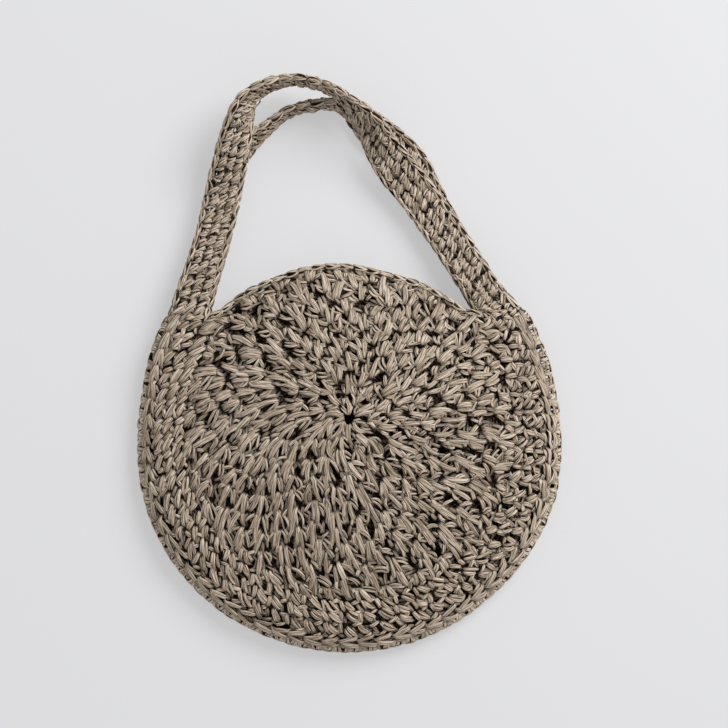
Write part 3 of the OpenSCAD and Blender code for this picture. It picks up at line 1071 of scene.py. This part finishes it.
# A flat braid of links, each two arms that leave one point and open round the next link
flatBraidLegs = [
    *[yarnLeg((-0.66, start), (0.66, end), 1, (0.0, 0.0042, 0.0002), rise=0.22, fall=0.76,
              bow=bow, wide=2.5, stout=1.6, leaf=0.95, blunt=(0.55, 0.48), sides=8)
      for start, end, bow in ((0.60, 0.16, 0.06), (0.48, 0.88, -0.06))],
    yarnLeg((-0.26, 0.26), (0.38, -0.22), 1, (-0.0004, 0.003, -0.0006), rise=0.25, bow=0.04,
            wide=2.0, stout=1.4, leaf=1.0, blunt=(0.5, 0.5)),
    yarnLeg((-0.62, -0.1), (-0.1, 0.3), 1, (-0.0006, 0.002, -0.0006), rise=0.25, bow=0.02,
            wide=2.0, stout=1.2, leaf=1.0, blunt=(0.5, 0.5), dim=0.58),
    yarnLeg((-0.5, 0.94), (0.1, 1.04), 1, (-0.0006, 0.0022, -0.0006), rise=0.25, bow=0.02,
            wide=1.8, stout=1.2, leaf=1.0, blunt=(0.5, 0.5), dim=0.56),
]


def rowLength(surface, across):
    line = surface(np.linspace(0, 1, 400), np.full(400, across), np.zeros(400))
    return lengths(np.diff(line, axis=0)).sum()


def bandRows(surface):
    rows = []
    depth = band["rowsEnd"] / band["rows"]
    for k in range(band["rows"]):
        count = round(rowLength(surface, (k + 0.5) * depth) / band["stitch"])
        rows.append({"count": count, "from": k * depth, "depth": depth})
    return rowsOfCells(rows)


def bandBraidRow(surface):
    start = band["rowsEnd"]
    count = round(rowLength(surface, band["lengthAt"]) / band["link"])
    return rowsOfCells([{"count": count, "from": start, "depth": 1 - start}])


upperCord = {**rowCord, "start": (-0.62, 0.78), "end": (0.62, 0.80)}
for side in ("front", "back"):
    front = side == "front"
    # shares run clockwise here, so the cells are turned over to keep each stitch's hand
    middle = bandMiddle(front)
    outwards = -1 if front else 1
    turned = lifted(lambda s, t, middle=middle: middle(1 - s, t), outwards, *band["steps"])
    rng = seeded(31, side)
    rows, braidRow = bandRows(turned), bandBraidRow(turned)
    bundles = fabricBundles(turned, rows, bandLegs, rng)
    bundles += layAll(turned, braidRow, flatBraidLegs, rng, loose=band["loose"])
    node = f"{side}_side_band"
    workPiece(f"{side}SideBandRows", bundles, bandYarn, node)
    # the cords stop short of the band's ends
    inside = lifted(lambda s, t, middle=middle: middle(np.clip(1 - s, *band["coreEnds"]), t),
                    outwards, *band["steps"])
    bundles = coreBundles(inside, rows, rng, [rowCord])
    bundles += coreBundles(inside, braidRow, rng, [rowCord, upperCord])
    workPiece(f"{side}SideBandCore", bundles, paintedShadowYarn, node)
print("side bands worked")

# Seam and mouth lips

seam = {"rows": 2, "stitch": 0.0105, "cord": 1.6, "loose": 0.8, "steps": (0.002, 0.05)}
wallLegs = [
    yarnLeg((0.02, -0.16), (-0.34, 1.18), 2, (-0.001, 0.0011, -0.0006), fall=0.66, bow=0.05,
            wide=1.7, stout=1.3, leaf=0.95, blunt=(0.76, 0.66), shade=lowShade),
    yarnLeg((0.12, -0.16), (0.42, 1.18), 2, (-0.001, 0.001, -0.0008), fall=0.66, bow=-0.05,
            wide=1.8, stout=1.35, leaf=0.95, blunt=(0.76, 0.66), shade=lowShade),
    yarnLeg((-0.58, 0.94), (0.58, 0.98), 2, (-0.0008, 0.0, -0.0008), bow=0.04, wide=1.4, leaf=1.0,
            blunt=(0.7, 0.7), dim=0.5),
    *[yarnLeg((-0.66, start), (0.66, end), 2, heights, bow=bow, wide=1.15, stout=1.3,
              leaf=0.9, blunt=(0.55, 0.5), dim=dim, shade=lowShade)
      for start, end, heights, bow, dim in (
          (-0.10, 0.06, (-0.0004, 0.0013, -0.0004), 0.04, 0.0),
          (0.20, 0.08, (-0.0006, 0.0008, -0.0006), -0.04, 0.46))],
    yarnLeg((-0.46, -0.1), (-0.5, 1.05), 2, (-0.0022, -0.0008, -0.0022), gather=1.5, wide=2.0,
            sides=4, dim=0.58, shade=lowShade),
]


def chainCells(length, link, start=0.0, span=1.0):
    return rowsOfCells([{"start": start, "span": span, "count": round(length / link),
                         "from": 0.0, "depth": 1.0}])


def braidBundles(surface, cells, rng):
    return layAll(surface, cells, braidLegs, rng, loose=yarn["braidLoose"])


rng = seeded(51, "front")
wall = lifted(wallMiddle, 1, *seam["steps"])
count = round(rowLength(wall, 0.5) / seam["stitch"])
wallCells = rowsOfCells([{"count": count, "from": k / seam["rows"], "depth": 1 / seam["rows"],
                          "phase": 0.4 * k} for k in range(seam["rows"])])
bundles = layAll(wall, wallCells, wallLegs, rng, loose=seam["loose"])
workPiece("joiningSeamBraid", bundles, edgeYarn, "joining_seam")
bundles = coreBundles(wall, wallCells, rng, [rowCord, upperCord], seam["cord"])
workPiece("joiningSeamCore", bundles, paintedShadowYarn, "joining_seam")

for side in ("front", "back"):
    surface, length = lipEdge(side == "front")
    rng = seeded(61, side)
    bundles = braidBundles(surface, chainCells(length, lip["link"]), rng)
    workPiece(f"{side}MouthBraid", bundles, edgeYarn, f"{side}_mouth_edging")
print("seam and lips braided")

# Straps

strapWork = {
    "rows": 3,
    "stitch": 0.0113,
    "link": 0.0112,
    "tuck": 0.0025,           # the edge braids run on by this at both roots
    "bend": (-0.001, 0.013),  # from the root line, over the first stitches
    "shade": (-0.0006, 0.0018),
    "steps": (0.002, 0.05),
}


def strapRows(lines, first, last):
    count = round(lines["length"] / strapWork["stitch"])
    rows = []
    for k in range(strapWork["rows"]):
        rows.append({"start": first * lines["length"], "span": (last - first) * lines["length"],
                     "count": round(count * (last - first)), "from": k / strapWork["rows"],
                     "depth": 1 / strapWork["rows"]})
    return rowsOfCells(rows)


# The straps' stitch: a long lump and a steeper one that lean back along the strap, a small
# one that leans forwards, and ones deeper down that are painted darker as shade
strapLegs = [
    *[yarnLeg(start, end, 2, (-0.0008, crest, -0.0006), rise=0.24, fall=0.72, bow=bow,
              wide=wide, stout=stout, leaf=0.95, blunt=(0.46, 0.4), shade=strapWork["shade"])
      for start, end, crest, bow, wide, stout in (
          ((0.40, -0.08), (-0.28, 0.98), 0.0034, 0.05, 1.3, 1.55),
          ((0.68, -0.06), (0.26, 1.00), 0.0031, -0.05, 1.1, 1.45))],
    yarnLeg((-0.1, 0.0), (0.14, 0.5), 2, (-0.0004, 0.003, -0.0004), rise=0.25, wide=0.95,
            stout=1.3, leaf=1.0, blunt=(0.5, 0.4), shade=strapWork["shade"]),
    yarnLeg((0.02, 0.1), (-0.36, 0.86), 2, (-0.0002, 0.002, -0.0002), rise=0.25, wide=1.2,
            stout=1.2, leaf=1.0, blunt=(0.6, 0.6), dim=0.38),
    yarnLeg((0.56, 0.46), (-0.06, 0.72), 1, (-0.0002, 0.0014, -0.0002), rise=0.25, wide=1.8,
            stout=1.2, leaf=1.0, blunt=(0.6, 0.6), dim=0.44),
    yarnLeg((-0.62, 0.22), (0.62, 0.28), 3, (-0.0002, 0.001, -0.0002), rise=0.25, gather=1.6,
            wide=1.1, sides=4, dim=0.54),
]
for side in ("front", "back"):
    lines = strapLines(side)
    start, end = [(0, bag["rootUp"] - bag["middleUp"] + away, restHeight(side == "front"))
                  for away in strapWork["bend"]]
    bend = {"body": f"{side}_strap", "start": start, "end": end}
    surface = lifted(strapMiddle(lines), 1, *strapWork["steps"])
    node = f"{side}_strap"
    for label, first, last in (("Left", 0.0, 0.5), ("Right", 0.5, 1.0)):
        rng = seeded(71 + int(first * 10), side)
        bundles = fabricBundles(surface, strapRows(lines, first, last), strapLegs, rng,
                                bothFaces=True)
        workPiece(f"{side}Strap{label}Rows", bundles, strapYarn, node, bend)
    rng = seeded(81, side)
    cord = {**rowCord, "strands": 3, "start": (-0.62, 0.48), "end": (0.62, 0.52),
            "heights": (-0.0004, 0.0004, -0.0004)}
    workPiece(f"{side}StrapCore", coreBundles(surface, strapRows(lines, 0.0, 1.0), rng, [cord]),
              paintedShadowYarn, node, bend)
    for label, sign in (("inner", -1), ("outer", 1)):
        rng = seeded(91 + sign, side)
        tuck = strapWork["tuck"]
        whole = lines["length"] + 2 * tuck
        cells = chainCells(whole, strapWork["link"], -tuck, whole)
        workPiece(f"{side}Strap{label.capitalize()}Braid",
                  braidBundles(strapEdge(lines, sign), cells, rng), edgeYarn,
                  f"{side}_strap_{label}_edging", bend)
print("straps worked")

# Floor, lamps and camera

def makeFloor():
    mesh = bpy.data.meshes.new("floor")
    corners = [(x * stage["reach"], y * stage["reach"], stage["level"])
               for x, y in ((-1, -1), (1, -1), (1, 1), (-1, 1))]
    mesh.from_pydata(corners, [], [(0, 1, 2, 3)])
    material, add = newMaterial("paleTable")
    grain = add("ShaderNodeTexNoise", ("Vector", add("ShaderNodeTexCoord").outputs["Object"]),
                ("Scale", stage["grain"][0]))
    ramp = add("ShaderNodeValToRGB", ("Fac", grain.outputs["Fac"]))
    for element, level in zip(ramp.color_ramp.elements, (stage["grain"][1], 1)):
        element.color = (*[level * c for c in stage["floor"]], 1)
    colour = ramp.outputs["Color"]
    lit = add("ShaderNodeBsdfDiffuse", ("Color", colour))
    glowing = add("ShaderNodeEmission", ("Color", colour), ("Strength", stage["glow"]))
    both = add("ShaderNodeMixShader", ("Fac", stage["glowShare"]), (1, lit.outputs["BSDF"]),
               (2, glowing.outputs[0]))
    add("ShaderNodeOutputMaterial", ("Surface", both.outputs[0]))
    mesh.materials.append(material)
    addObject("floor", mesh)


def makeLamp():
    data = bpy.data.lights.new("windowLamp", "AREA")
    data.shape = "DISK"
    data.size = stage["lampSize"]
    data.energy = stage["lampPower"]
    lamp = addObject("windowLamp", data)
    lamp.location = stage["lampPlace"]
    lamp.rotation_euler = (-Vector(stage["lampPlace"])).to_track_quat("-Z", "Y").to_euler()


makeFloor()
makeLamp()
world = bpy.data.worlds.new("softRoom")
world.use_nodes = True
light = world.node_tree.nodes["Background"].inputs
light["Color"].default_value = stage["room"]
light["Strength"].default_value = stage["roomLight"]
bpy.context.scene.world = world
bpy.context.scene.view_settings.view_transform = "Standard"

cameraData = bpy.data.cameras.new("camera")
cameraData.sensor_width = stage["sensor"]
cameraData.lens = stage["sensor"] * (stage["distance"] - stage["focus"]) / stage["picture"]
cameraData.clip_start, cameraData.clip_end = 0.05, 50
camera = addObject("camera", cameraData)
camera.location = (*stage["centre"], stage["distance"])
bpy.context.scene.camera = camera
